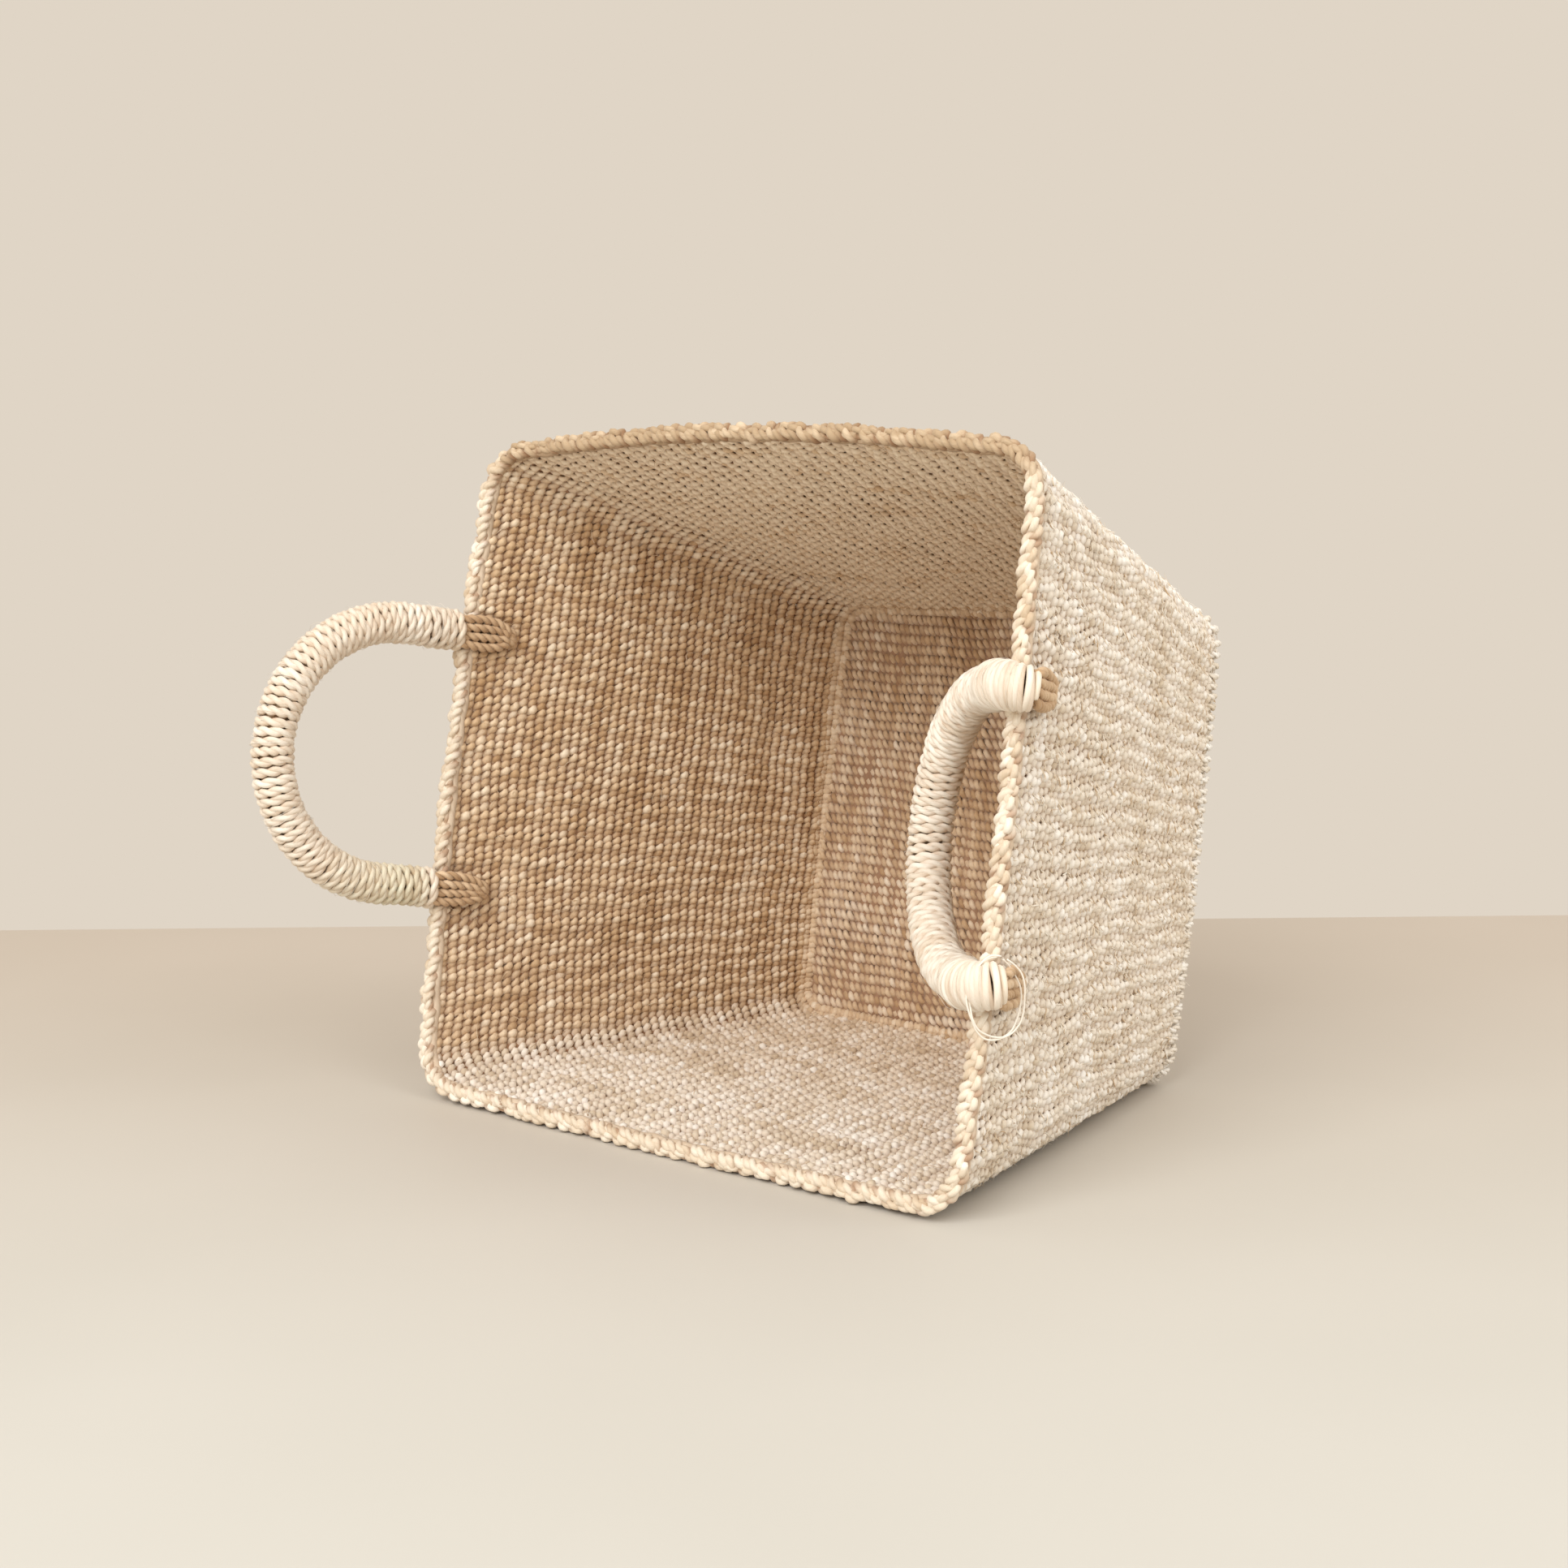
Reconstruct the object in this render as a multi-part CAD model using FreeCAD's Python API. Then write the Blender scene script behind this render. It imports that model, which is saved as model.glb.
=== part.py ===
import FreeCAD, Part
import math
import os
from FreeCAD import Vector

# Woven square basket bin with two twine-wrapped rope handles, lying on one side wall.
# Millimetres.  Row frame: +Z up from the surface it lies on, mouth towards -Y, base towards +Y,
# origin on that surface under the centre of the bounding box.
# Basket frame used below: u to the right, v up, w from the mouth plane (0) to the base (DEPTH).

# ---- driving dimensions -------------------------------------------------------------------
MOUTH_W = 298.0          # outside width of the mouth, corner line to corner line
MOUTH_H = 290.0          # outside height of the mouth
BASE_W = 216.0           # outside width of the base
BASE_H = 214.0           # outside height of the base
DEPTH = 215.5            # mouth plane to underside of the base, along the basket's axis
WALL_T = 6.0             # thickness of the twined fabric
BASE_T = 6.0             # thickness of the twined base panel
MOUTH_R = 22.0           # outside corner radius at the mouth
BASE_R = 17.0            # outside corner radius at the base
MOUTH_BULGE = (4.0, 9.0, 7.0, 2.0)    # how far each wall bows out at the mouth: right, top, left, bottom
BASE_BULGE = (2.0, 2.0, 2.0, 0.6)     # the same at the base
RIM_R = 4.2              # radius of the crocheted rim edging
RIM_W = -0.6             # the edging's centre line, this far along w
SEAM = 3.6               # section of the overcast lacing inside the base edge
LEFT_HALF = 58.0         # half the distance between the left handle's two legs, centre to centre
RIGHT_HALF = 55.5        # the same on the right
LEFT_STRAIGHT = 31.0     # rim to the start of the left bow's half circle
RIGHT_STRAIGHT = 33.5
WRAP_R = 9.8             # radius over the twine wrapping
CORE_R = 6.0             # radius of the rope core
PIVOT_S = 4.0            # the flex line lies this far out from the mouth plane, along the wall
FLEX_R = 14.2            # the wrapped leg ends stay inside this radius of the flex line
BOW_R0 = 15.6            # the stiff bow stays outside this radius of the flex line
LEFT_FOLD = 0.0          # degrees folded inwards at rest
RIGHT_FOLD = 135.0
LEFT_V = 4.0             # the left handle's middle, above the middle of the wall
RIGHT_V = -1.5           # the same on the right
CORD_R = 1.5             # radius of one bare core cord
CORD_N = 3               # cords side by side on each face of the wall
CORD_PITCH = 3.9
CORD_OFF = 3.2           # cord centre line to the wall's face, clear of the edging
CORD_DEPTH = 18.0        # where the cords start to turn into their hole, below the mouth plane
HOLE_S = (-26.4, -18.4)  # the hole through the wall
HOLE_U = 6.6


# ---- section of the basket ----------------------------------------------------------------
def side_circles(hx, hy, bulge):
    """Centre and radius of the four big arcs that bow each side out: right, top, left, bottom."""
    out = []
    for k, b in enumerate(bulge):
        half = hy if k % 2 == 0 else hx
        dist = hx if k % 2 == 0 else hy
        R = (half * half + b * b) / (2 * b)
        c = dist + b - R
        out.append(((c, 0.0), (0.0, c), (-c, 0.0), (0.0, -c))[k] + (R,))
    return out


def corner_circle(c1, c2, r, sx, sy):
    """The corner arc of radius r inside both neighbouring big arcs, in the quadrant sx, sy."""
    (x1, y1, R1), (x2, y2, R2) = c1, c2
    d1, d2 = R1 - r, R2 - r
    dx, dy = x2 - x1, y2 - y1
    d = math.hypot(dx, dy)
    a = (d1 * d1 - d2 * d2 + d * d) / (2 * d)
    h = math.sqrt(max(d1 * d1 - a * a, 0.0))
    mx, my = x1 + a * dx / d, y1 + a * dy / d
    for s in (1, -1):
        x, y = mx + s * h * dy / d, my - s * h * dx / d
        if x * sx > 0 and y * sy > 0:
            return x, y
    raise ValueError("no corner")


def section_arcs(W, H, bulge, r, inset):
    """Eight arcs, each as three (u, v) points, anticlockwise from the right side."""
    sides = side_circles(W / 2, H / 2, bulge)
    quads = ((1, 1), (-1, 1), (-1, -1), (1, -1))
    corners = [
        corner_circle(sides[k], sides[(k + 1) % 4], r, *quads[k]) for k in range(4)
    ]

    def on(c, R, p):
        dx, dy = p[0] - c[0], p[1] - c[1]
        n = math.hypot(dx, dy)
        return (c[0] + dx / n * R, c[1] + dy / n * R)

    touch = []       # for each corner, its two tangent points on the inset curve
    for k in range(4):
        c = corners[k]
        pts = []
        for side in (sides[k], sides[(k + 1) % 4]):
            dx, dy = c[0] - side[0], c[1] - side[1]
            n = math.hypot(dx, dy)
            pts.append((c[0] + dx / n * (r - inset), c[1] + dy / n * (r - inset)))
        touch.append(pts)
    arcs = []
    for k in range(4):
        side = sides[k]
        start, end = touch[k - 1][1], touch[k][0]
        mid = ((start[0] + end[0]) / 2, (start[1] + end[1]) / 2)
        arcs.append((start, on(side, side[2] - inset, mid), end))
        a, b = touch[k]
        mid = ((a[0] + b[0]) / 2, (a[1] + b[1]) / 2)
        arcs.append((a, on(corners[k], r - inset, mid), b))
    return arcs


# ---- how the basket lies: the rim edging and the base's lower edge both touch the surface ---
v1, w1 = -(MOUTH_H / 2 + MOUTH_BULGE[3] - WALL_T / 2), RIM_W
v2, w2 = -(BASE_H / 2 + BASE_BULGE[3]), DEPTH
TILT = math.atan2(v2 - v1, w2 - w1) + math.asin(RIM_R / math.hypot(v2 - v1, w2 - w1))
CT, ST = math.cos(TILT), math.sin(TILT)
SHIFT = Vector(0, 0, 0)      # set once the whole box is known


def P(u, v, w):
    """Basket frame to row frame, before the final shift of the origin."""
    return Vector(u, v * ST + w * CT, v * CT - w * ST)


def wire(arcs, w):
    edges = [
        Part.Arc(P(*a, w), P(*m, w), P(*b, w)).toShape() for a, m, b in arcs
    ]
    return Part.Wire(edges)


def tube_at(inset):
    """The solid inside the basket's surface moved inwards by inset, from mouth to base."""
    return Part.makeLoft(
        [
            wire(section_arcs(MOUTH_W, MOUTH_H, MOUTH_BULGE, MOUTH_R, inset), 0.0),
            wire(section_arcs(BASE_W, BASE_H, BASE_BULGE, BASE_R, inset), DEPTH),
        ],
        True,
        True,
    )


def slab(w0, w1):
    """Everything between two planes across the basket's axis."""
    box = Part.makeBox(600, w1 - w0, 600, Vector(-300, 0, -300))
    box.rotate(Vector(0, 0, 0), Vector(1, 0, 0), -math.degrees(TILT))
    box.translate(P(0, 0, w0))
    return box


outer = tube_at(0.0)
inner = tube_at(WALL_T)
base_panel = inner.common(slab(DEPTH - BASE_T, DEPTH + 5))
woven_wall = outer.cut(inner)

# ---- rim edging: a bead along the middle of the wall's edge, seated flat on it -------------
mid_arcs = section_arcs(MOUTH_W, MOUTH_H, MOUTH_BULGE, MOUTH_R, WALL_T / 2)
mid_wire = wire(mid_arcs, RIM_W)
a, m, b = mid_arcs[0]
start = P(*a, RIM_W)
arc = Part.Arc(P(*a, RIM_W), P(*m, RIM_W), P(*b, RIM_W))
ring = Part.Wire([Part.Circle(start, arc.tangent(arc.FirstParameter)[0], RIM_R).toShape()])
bead = mid_wire.makePipeShell([ring], True, True)
rim_edging = bead.common(slab(-20.0, 0.0))

# ---- base seam: the overcast lacing in the corner between walls and base panel -------------
seam_zone = slab(DEPTH - BASE_T - SEAM, DEPTH - BASE_T)
base_seam = inner.common(seam_zone).cut(tube_at(WALL_T + SEAM))


# ---- handles ------------------------------------------------------------------------------
class Side:
    """The frame of a side wall at its handle: s out past the mouth along the wall, n outwards, t along the rim."""

    def __init__(self, sign, k, half, straight, v):
        bulge_m = MOUTH_BULGE[k] * (1 - (half / (MOUTH_H / 2)) ** 2)
        bulge_b = BASE_BULGE[k] * (1 - (half / (BASE_H / 2)) ** 2)
        lean = (MOUTH_W / 2 + bulge_m) - (BASE_W / 2 + bulge_b)
        self.half, self.straight, self.v = half, straight, v
        length = math.hypot(lean, DEPTH)
        self.sign = sign
        self.sdir = (sign * lean / length, -DEPTH / length)       # (u, w)
        self.ndir = (sign * DEPTH / length, lean / length)
        self.u0 = sign * (MOUTH_W / 2 + bulge_m)

    def at(self, s, n, t):
        u = self.u0 + s * self.sdir[0] + n * self.ndir[0]
        w = s * self.sdir[1] + n * self.ndir[1]
        return P(u, self.v + t, w)

    def direction(self, s, n, t):
        return self.at(s, n, t) - self.at(0, 0, 0)


left = Side(-1, 2, LEFT_HALF, LEFT_STRAIGHT, LEFT_V)
right = Side(1, 0, RIGHT_HALF, RIGHT_STRAIGHT, RIGHT_V)
PIVOT_N = -WALL_T / 2


def bow_point(side, r, t, fold):
    """A point of the bow, r from the flex line in the bow's own plane, folded inwards by fold degrees."""
    f = math.radians(fold)
    return side.at(PIVOT_S + r * math.cos(f), PIVOT_N - r * math.sin(f), t)


def bow_wire(side, fold, r_start):
    r1 = side.straight - PIVOT_S
    H = side.half
    pts = [bow_point(side, r_start, H, fold), bow_point(side, r1, H, fold)]
    top = bow_point(side, r1 + H, 0, fold)
    pts += [bow_point(side, r1, -H, fold), bow_point(side, r_start, -H, fold)]
    edges = [Part.LineSegment(pts[0], pts[1]).toShape()]
    edges.append(Part.Arc(pts[1], top, pts[2]).toShape())
    edges.append(Part.LineSegment(pts[2], pts[3]).toShape())
    return Part.Wire(edges), pts[0], pts[3]


def sweep(path, at, direction, radius):
    section = Part.Wire([Part.Circle(at, direction, radius).toShape()])
    return path.makePipeShell([section], True, True)


def handle(side, fold):
    """The rope core and the twine wrapping of one bow, both domed or capped at the leg ends."""
    path, a, b = bow_wire(side, fold, BOW_R0 + WRAP_R)
    along = bow_point(side, 100, 0, fold) - bow_point(side, 0, 0, fold)
    core = sweep(path, a, along, CORE_R)
    wrap = sweep(path, a, along, WRAP_R)
    for end in (a, b):
        wrap = wrap.fuse(Part.makeSphere(WRAP_R, end))
    return core, wrap.removeSplitter().cut(core)


def leg_end(side, fold, t):
    """The last turns of wrapping where a leg flexes: everything within FLEX_R of the flex line."""
    f = math.radians(fold)
    axis = side.direction(0, 0, 1)
    drum = Part.makeCylinder(
        FLEX_R, 2 * WRAP_R, side.at(PIVOT_S, PIVOT_N, t - WRAP_R), axis
    )
    if fold < 45:
        rod = Part.makeCylinder(
            WRAP_R, 40, side.at(RIM_W + 2.0, PIVOT_N, t), side.direction(1, 0, 0)
        )
        body = drum.common(rod)
    else:
        # a leg folded over the rim: a rounded lump over the edge, open towards the wall
        edges = [e for e in drum.Edges if e.Curve.TypeId == "Part::GeomCircle"]
        body = drum.makeFillet(6.5, edges)
        keep = Part.makeBox(80, 80, 80)
        keep.translate(Vector(-40, -40, 0))
        z = side.direction(1, 0, 0)
        keep.Placement = FreeCAD.Placement(
            side.at(-7.0, 0, t), FreeCAD.Rotation(Vector(0, 0, 1), z)
        ).multiply(keep.Placement)
        body = body.common(keep)
    return body


def tether(side, t):
    """Bare core cords: down one face of the wall, through the hole and up the other face."""
    cords = []
    a = WALL_T / 2 + CORD_OFF
    for k in range(CORD_N):
        tk = t + (k - (CORD_N - 1) / 2) * CORD_PITCH
        top, low = 1.0, -CORD_DEPTH
        p0 = side.at(top, PIVOT_N - a, tk)
        p1 = side.at(low, PIVOT_N - a, tk)
        pm = side.at(low - a, PIVOT_N, tk)
        p2 = side.at(low, PIVOT_N + a, tk)
        p3 = side.at(top, PIVOT_N + a, tk)
        path = Part.Wire(
            [
                Part.LineSegment(p0, p1).toShape(),
                Part.Arc(p1, pm, p2).toShape(),
                Part.LineSegment(p2, p3).toShape(),
            ]
        )
        cords.append(sweep(path, p0, side.direction(-1, 0, 0), CORD_R))
    return cords


def hole(side, t):
    lo, hi = HOLE_S
    corners = [
        side.at(lo, -40, t - HOLE_U),
        side.at(hi, -40, t - HOLE_U),
        side.at(hi, -40, t + HOLE_U),
        side.at(lo, -40, t + HOLE_U),
    ]
    face = Part.Face(Part.makePolygon(corners + corners[:1]))
    return face.extrude(side.direction(0, 60, 0))


parts = {}
ends = []
for name, side, fold in (("left", left, LEFT_FOLD), ("right", right, RIGHT_FOLD)):
    core, wrap = handle(side, fold)
    parts[name + "_handle_core"] = core
    parts[name + "_handle_wrap"] = wrap
    for place, t in (("upper", side.half), ("lower", -side.half)):
        woven_wall = woven_wall.cut(hole(side, t))
        cords = tether(side, t)
        lump = leg_end(side, fold, t)
        for c in cords:
            lump = lump.cut(c)
        ends.append((name + "_leg_wrap_" + place, lump))
        parts[name + "_tether_" + place] = Part.makeCompound(cords)

for name, lump in ends:
    lump = lump.cut(woven_wall).cut(rim_edging)
    solids = sorted(lump.Solids, key=lambda s: -s.Volume)
    parts[name] = solids[0]

parts["woven_wall"] = woven_wall
parts["base_panel"] = base_panel
parts["rim_edging"] = rim_edging
parts["base_seam"] = base_seam

# ---- origin: on the surface, under the centre of the box -----------------------------------
box = Part.makeCompound(list(parts.values())).optimalBoundingBox(False, False)
SHIFT = Vector(
    -(box.XMin + box.XMax) / 2, -(box.YMin + box.YMax) / 2, -box.ZMin
)
os.makedirs("parts", exist_ok=True)
move = FreeCAD.Matrix()
move.move(SHIFT)
for name, shape in sorted(parts.items()):
    solids = shape.Solids
    out = solids[0] if len(solids) == 1 else Part.makeCompound(solids)
    out = out.copy()
    out.transformShape(move, True)
    out.exportStep("parts/%s.step" % name)
    print(
        "%-26s solids %d volume %9.0f valid %s" % (name, len(solids), out.Volume, out.isValid())
    )

print("tilt deg %.3f" % math.degrees(TILT))
print("box %s" % [round(x, 2) for x in (box.XLength, box.YLength, box.ZLength)])
print("shift %s" % [round(x, 4) for x in SHIFT])
for name, side in (("left", left), ("right", right)):
    p = side.at(PIVOT_S, PIVOT_N, 0) + SHIFT
    d = side.direction(0, 0, 1)
    print(name, "pivot mm", [round(x, 4) for x in p], "axis", [round(x, 6) for x in d])
    print(name, "s", [round(x, 6) for x in side.direction(1, 0, 0)], "n", [round(x, 6) for x in side.direction(0, 1, 0)])
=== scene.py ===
import math

import bpy
import numpy as np
from mathutils import Matrix


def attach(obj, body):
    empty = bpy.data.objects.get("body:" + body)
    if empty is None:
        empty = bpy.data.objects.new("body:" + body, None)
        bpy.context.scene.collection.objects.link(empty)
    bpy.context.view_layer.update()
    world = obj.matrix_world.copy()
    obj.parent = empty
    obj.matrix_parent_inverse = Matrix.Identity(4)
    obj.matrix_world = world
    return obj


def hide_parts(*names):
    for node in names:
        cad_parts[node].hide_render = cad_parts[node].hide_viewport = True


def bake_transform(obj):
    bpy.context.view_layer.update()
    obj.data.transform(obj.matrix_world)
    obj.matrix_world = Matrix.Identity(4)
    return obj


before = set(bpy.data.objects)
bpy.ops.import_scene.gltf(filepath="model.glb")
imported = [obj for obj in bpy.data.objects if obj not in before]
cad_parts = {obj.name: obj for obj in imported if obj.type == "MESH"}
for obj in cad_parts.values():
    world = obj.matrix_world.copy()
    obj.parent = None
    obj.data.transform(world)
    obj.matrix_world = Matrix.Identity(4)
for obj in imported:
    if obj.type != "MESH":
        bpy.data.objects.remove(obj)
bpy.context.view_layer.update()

TAU = 2 * math.pi

# =============================================================================================
# The basket's own frame: u right, v up, w from the mouth plane to the base, in millimetres.
# =============================================================================================
MOUTH_W, MOUTH_H, BASE_W, BASE_H, DEPTH = 298.0, 290.0, 216.0, 214.0, 215.5
WALL_T, BASE_T, MOUTH_R, BASE_R = 6.0, 6.0, 22.0, 17.0
MOUTH_BULGE, BASE_BULGE = (4.0, 9.0, 7.0, 2.0), (2.0, 2.0, 2.0, 0.6)
RIM_R, RIM_W = 4.2, -0.6
PIVOT_S = 4.0
PIVOT_N = -WALL_T / 2
_v1, _w1 = -(MOUTH_H / 2 + MOUTH_BULGE[3] - WALL_T / 2), RIM_W
_v2, _w2 = -(BASE_H / 2 + BASE_BULGE[3]), DEPTH
TILT = math.atan2(_v2 - _v1, _w2 - _w1) + math.asin(RIM_R / math.hypot(_v2 - _v1, _w2 - _w1))
CT, ST = math.cos(TILT), math.sin(TILT)
SHIFT = np.array([7.8321, -67.8358, 145.6042])
AXIS_W = np.array([0.0, CT, -ST])
AXIS_V = np.array([0.0, ST, CT])
AXIS_U = np.array([1.0, 0.0, 0.0])


def P(u, v, w):
    """Basket frame to row frame, millimetres."""
    u, v, w = np.broadcast_arrays(np.asarray(u, float), np.asarray(v, float), np.asarray(w, float))
    return np.stack([u, v * ST + w * CT, v * CT - w * ST], -1) + SHIFT


def unit(a):
    return a / np.maximum(np.linalg.norm(a, axis=-1, keepdims=True), 1e-12)


def side_circles(hx, hy, bulge):
    out = []
    for k, b in enumerate(bulge):
        half, dist = (hy, hx) if k % 2 == 0 else (hx, hy)
        R = (half * half + b * b) / (2 * b)
        c = dist + b - R
        out.append(((c, 0.0), (0.0, c), (-c, 0.0), (0.0, -c))[k] + (R,))
    return out


def section(W, H, bulge, r, inset):
    """Eight arcs anticlockwise from the right side, each as centre, radius and two angles."""
    sides = side_circles(W / 2, H / 2, bulge)
    quads = ((1, 1), (-1, 1), (-1, -1), (1, -1))
    corners = []
    for k in range(4):
        (x1, y1, R1), (x2, y2, R2) = sides[k], sides[(k + 1) % 4]
        d1, d2 = R1 - r, R2 - r
        dx, dy = x2 - x1, y2 - y1
        d = math.hypot(dx, dy)
        a = (d1 * d1 - d2 * d2 + d * d) / (2 * d)
        h = math.sqrt(max(d1 * d1 - a * a, 0.0))
        mx, my = x1 + a * dx / d, y1 + a * dy / d
        for s in (1, -1):
            x, y = mx + s * h * dy / d, my - s * h * dx / d
            if x * quads[k][0] > 0 and y * quads[k][1] > 0:
                corners.append((x, y))
    arcs = []
    for k in range(4):
        cx, cy, R = sides[k]
        c0, c1 = corners[k - 1], corners[k]
        a0, a1 = math.atan2(c0[1] - cy, c0[0] - cx), math.atan2(c1[1] - cy, c1[0] - cx)
        arcs.append((cx, cy, R - inset, a0, a0 + (a1 - a0) % TAU))
        nx, ny, NR = sides[(k + 1) % 4]
        b0 = math.atan2(c1[1] - cy, c1[0] - cx)
        b1 = math.atan2(c1[1] - ny, c1[0] - nx)
        arcs.append((c1[0], c1[1], r - inset, b0, b0 + (b1 - b0) % TAU))
    return arcs


def on_arcs(arcs, k, t):
    A = np.array(arcs)[k]
    ang = A[..., 3] + (A[..., 4] - A[..., 3]) * t
    return A[..., 0] + A[..., 2] * np.cos(ang), A[..., 1] + A[..., 2] * np.sin(ang)


N_WARP = 324          # stitches in one row, round the basket
_lens = [a[2] * (a[4] - a[3]) for a in section(MOUTH_W, MOUTH_H, MOUTH_BULGE, MOUTH_R, 3.0)]
_cum = np.concatenate([[0], np.cumsum(_lens)]) / sum(_lens)
RIM_LENGTH = sum(_lens)


def locate(theta):
    """Which arc, and how far along it, for a place counted in warps round the basket."""
    f = (np.asarray(theta, float) / N_WARP) % 1.0
    k = np.clip(np.searchsorted(_cum, f, side="right") - 1, 0, 7)
    return k, (f - _cum[k]) / (_cum[k + 1] - _cum[k])


_SECTIONS = {}


def skin(theta, w, inset=3.0):
    """A point of the basket's surface moved inwards by inset, with no waviness."""
    if inset not in _SECTIONS:
        _SECTIONS[inset] = (
            section(MOUTH_W, MOUTH_H, MOUTH_BULGE, MOUTH_R, inset),
            section(BASE_W, BASE_H, BASE_BULGE, BASE_R, inset),
        )
    m, b = _SECTIONS[inset]
    k, t = locate(theta)
    mu, mv = on_arcs(m, k, t)
    bu, bv = on_arcs(b, k, t)
    q = np.asarray(w, float) / DEPTH
    return P(mu + (bu - mu) * q, mv + (bv - mv) * q, w)


def skin_frame(theta, w):
    """Point, tangent round the basket, direction to the base and outward normal."""
    c = skin(theta, w)
    T = unit(skin(theta + 0.05, w) - skin(theta - 0.05, w))
    D = unit(skin(theta, w + 0.5) - skin(theta, w - 0.5))
    N = unit(np.cross(D, T))
    return c, T, unit(np.cross(T, N)), N


rng = np.random.default_rng(20240611)


def ripple(n, kmax, lmax, seed):
    """A smooth field over (theta, w), closed round the basket, of unit strength."""
    r = np.random.default_rng(seed)
    k = r.integers(-kmax, kmax + 1, n)
    l = r.uniform(-lmax, lmax, n)
    p = r.uniform(0, TAU, n)

    def f(theta, w):
        s = 0.0
        for a, b, c in zip(k, l, p):
            s = s + np.sin(TAU * a * theta / N_WARP + b * w / 100.0 + c)
        return s * math.sqrt(2.0 / n)

    return f


swell = ripple(10, 7, 5.0, 3)          # the fabric's soft unevenness
wander = ripple(14, 22, 14.0, 5)       # how the warps wander sideways
drift = ripple(14, 26, 10.0, 8)        # how the rows wander in depth
patch = ripple(16, 18, 22.0, 12)       # broad patches of colour
ribber = ripple(14, 30, 16.0, 14)      # ribs stand out more in some places


# =============================================================================================
# Mesh building
# =============================================================================================
class Build:
    """Collects tubes and writes them to one mesh, with a yarn coordinate and a look attribute."""

    def __init__(self):
        self.v, self.f, self.yarn, self.look, self.n = [], [], [], [], 0
        self.tri = []

    def tubes(self, C, E1, E2, r1, r2, closed=False, sides=6, along=None, twist=0.0, look=None, cap=True):
        """C, E1, E2: (m, n, 3) in mm; r1, r2: radii along E1, E2; E1 x E2 points along the tube."""
        C = np.asarray(C, float)
        if C.ndim == 2:
            C, E1, E2 = C[None], E1[None], E2[None]
            look = None if look is None else look[None]
            along = None if along is None else along[None]
            r1 = np.asarray(r1)[None] if np.ndim(r1) == 1 else r1
            r2 = np.asarray(r2)[None] if np.ndim(r2) == 1 else r2
        m, n, _ = C.shape
        r1 = np.broadcast_to(r1, (m, n))
        r2 = np.broadcast_to(r2, (m, n))
        if along is None:
            step = np.linalg.norm(np.diff(C, axis=1), axis=-1)
            along = np.concatenate([np.zeros((m, 1)), np.cumsum(step, 1)], 1) + np.arange(m)[:, None] * 37.0
        a = np.arange(sides) * TAU / sides
        ca, sa = np.cos(a), np.sin(a)
        V = (
            C[:, :, None]
            + E1[:, :, None] * (r1[..., None] * ca)[..., None]
            + E2[:, :, None] * (r2[..., None] * sa)[..., None]
        )
        ta = a[None, None, :] + along[..., None] * twist
        rm = 0.5 * (r1 + r2)[..., None]
        Y = np.stack([np.broadcast_to(along[..., None], (m, n, sides)), np.cos(ta) * rm, np.sin(ta) * rm], -1)
        if look is None:
            look = np.zeros((m, n, 3))
        L = np.broadcast_to(look[:, :, None, :], (m, n, sides, 3))
        base = self.n + (np.arange(m) * n * sides)[:, None, None]
        i = np.arange(n if closed else n - 1)[None, :, None]
        j = np.arange(sides)[None, None, :]
        i2, j2 = (i + 1) % n, (j + 1) % sides
        F = np.stack(
            [base + i * sides + j, base + i2 * sides + j, base + i2 * sides + j2, base + i * sides + j2], -1
        )
        F = F[..., [0, 3, 2, 1]]
        self.f.append(F.reshape(-1, 4))
        self.v.append(V.reshape(-1, 3))
        self.yarn.append(Y.reshape(-1, 3))
        self.look.append(L.reshape(-1, 3))
        count = m * n * sides
        if cap and not closed:
            for end, flip in ((0, False), (n - 1, True)):
                tip = C[:, end] + (C[:, end] - C[:, end + (1 if end == 0 else -1)]) * 0.0
                b = self.n + np.arange(m) * n * sides + end * sides
                ids = self.n + count + np.arange(m)
                for j0 in range(sides):
                    j1 = (j0 + 1) % sides
                    t = [b + j1, b + j0, ids] if not flip else [b + j0, b + j1, ids]
                    self.tri.append(np.stack(t, -1))
                self.v.append(tip)
                self.yarn.append(Y[:, end, 0])
                self.look.append(L[:, end, 0])
                count += m
        self.n += count

    def mesh(self, name, floor=0.35):
        v = np.concatenate(self.v) if self.v else np.zeros((0, 3))
        # what would sink into the surface it lies on is pressed flat against it
        z = v[:, 2]
        low = z < floor + 0.6
        z[low] = floor + 0.6 * np.exp((z[low] - floor - 0.6) / 0.6 * 0.9) * 1.0
        z[:] = np.maximum(z, floor * 0.6)
        quads = np.concatenate(self.f) if self.f else np.zeros((0, 4), int)
        tris = np.concatenate(self.tri) if self.tri else np.zeros((0, 3), int)
        me = bpy.data.meshes.new(name)
        me.vertices.add(len(v))
        me.vertices.foreach_set("co", (v / 1000.0).astype(np.float32).ravel())
        loops = np.concatenate([quads.ravel(), tris.ravel()]).astype(np.int32)
        me.loops.add(len(loops))
        me.loops.foreach_set("vertex_index", loops)
        starts = np.concatenate([np.arange(len(quads)) * 4, len(quads) * 4 + np.arange(len(tris)) * 3])
        me.polygons.add(len(starts))
        me.polygons.foreach_set("loop_start", starts.astype(np.int32))
        me.polygons.foreach_set("use_smooth", np.ones(len(starts), bool))
        me.update(calc_edges=True)
        for label, data in (("yarn", self.yarn), ("look", self.look)):
            at = me.attributes.new(label, "FLOAT_VECTOR", "POINT")
            at.data.foreach_set("vector", np.concatenate(data).astype(np.float32).ravel())
        ob = bpy.data.objects.new(name, me)
        bpy.context.scene.collection.objects.link(ob)
        return ob


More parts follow.
